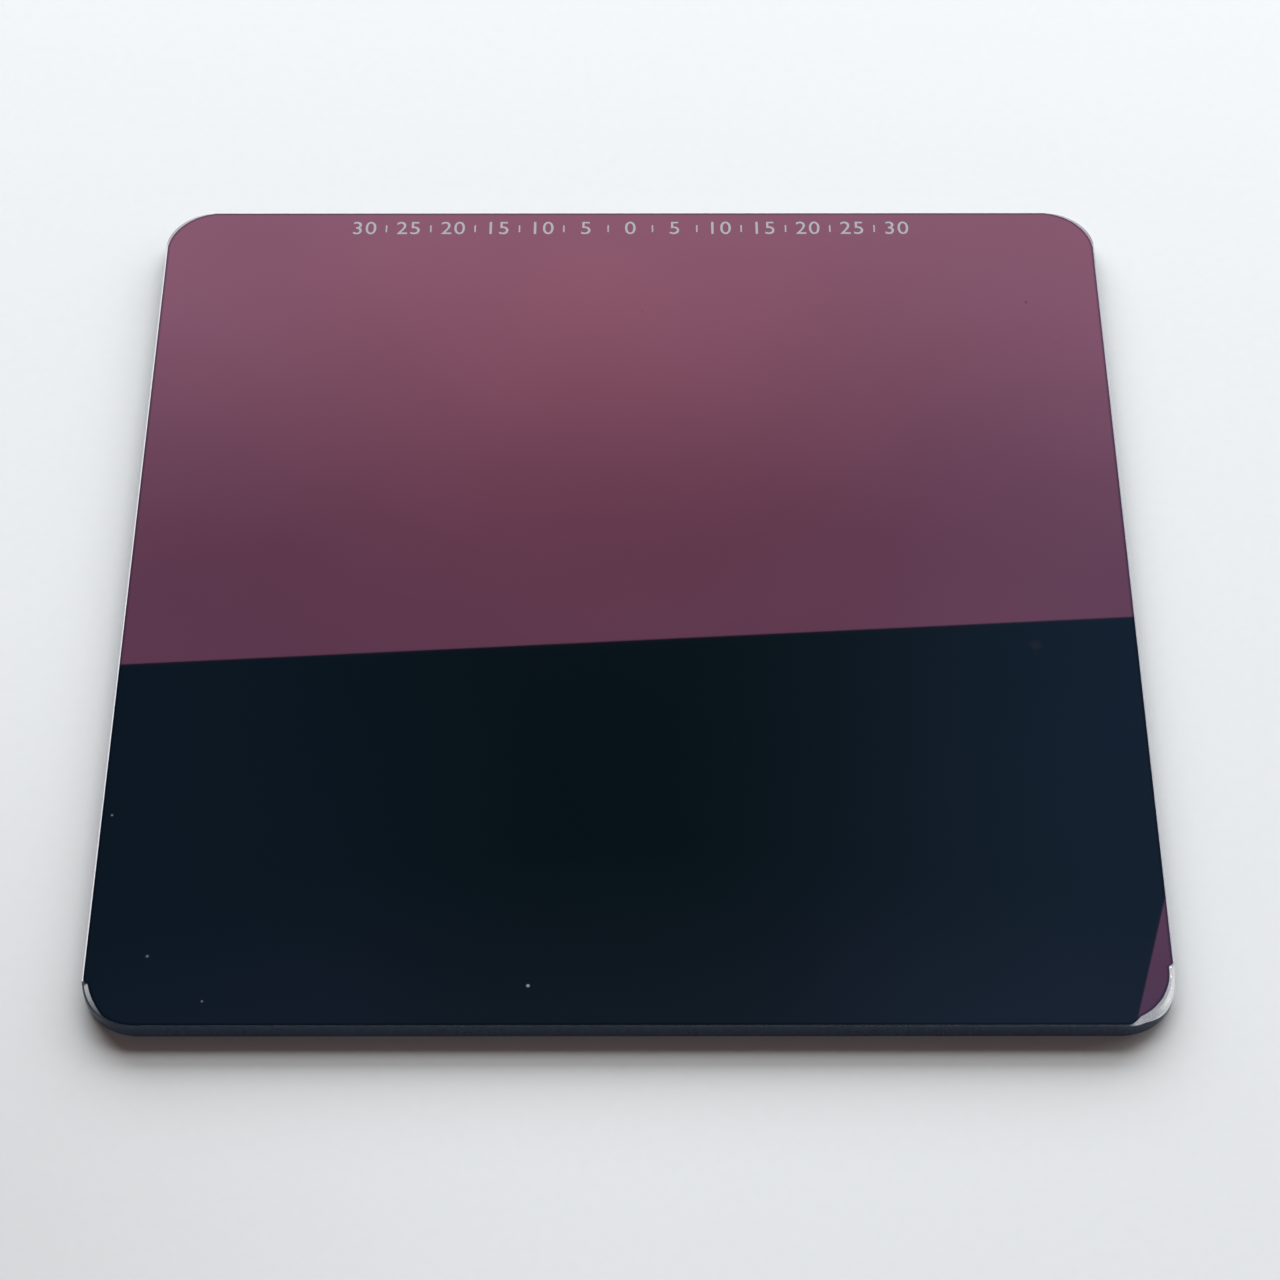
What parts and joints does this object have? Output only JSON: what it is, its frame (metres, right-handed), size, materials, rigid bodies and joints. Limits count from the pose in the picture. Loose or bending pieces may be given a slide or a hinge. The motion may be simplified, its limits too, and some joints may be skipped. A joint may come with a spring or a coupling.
{
  "type": "square neutral density filter",
  "caption": "Square plate of coated dark optical glass with rounded, ground corners that slides into a lens filter holder.",
  "frame": {"origin": "middle of the rear face, on the plane that the plate lies on", "axes": "+Z out of the coated front face, +Y towards the edge that carries the marks, +X to the right seen from the front"},
  "size_m": [0.1, 0.1, 0.002],
  "materials": {
    "coated_glass": "mirror-smooth plum anti-reflection coating over near-black glass",
    "ground_glass": "fine ground, semi-matte",
    "etched_marks": "thin matt grey print"
  },
  "bodies": {
    "root": {"filter_plate": "coated_glass"}
  },
  "joints": []
}
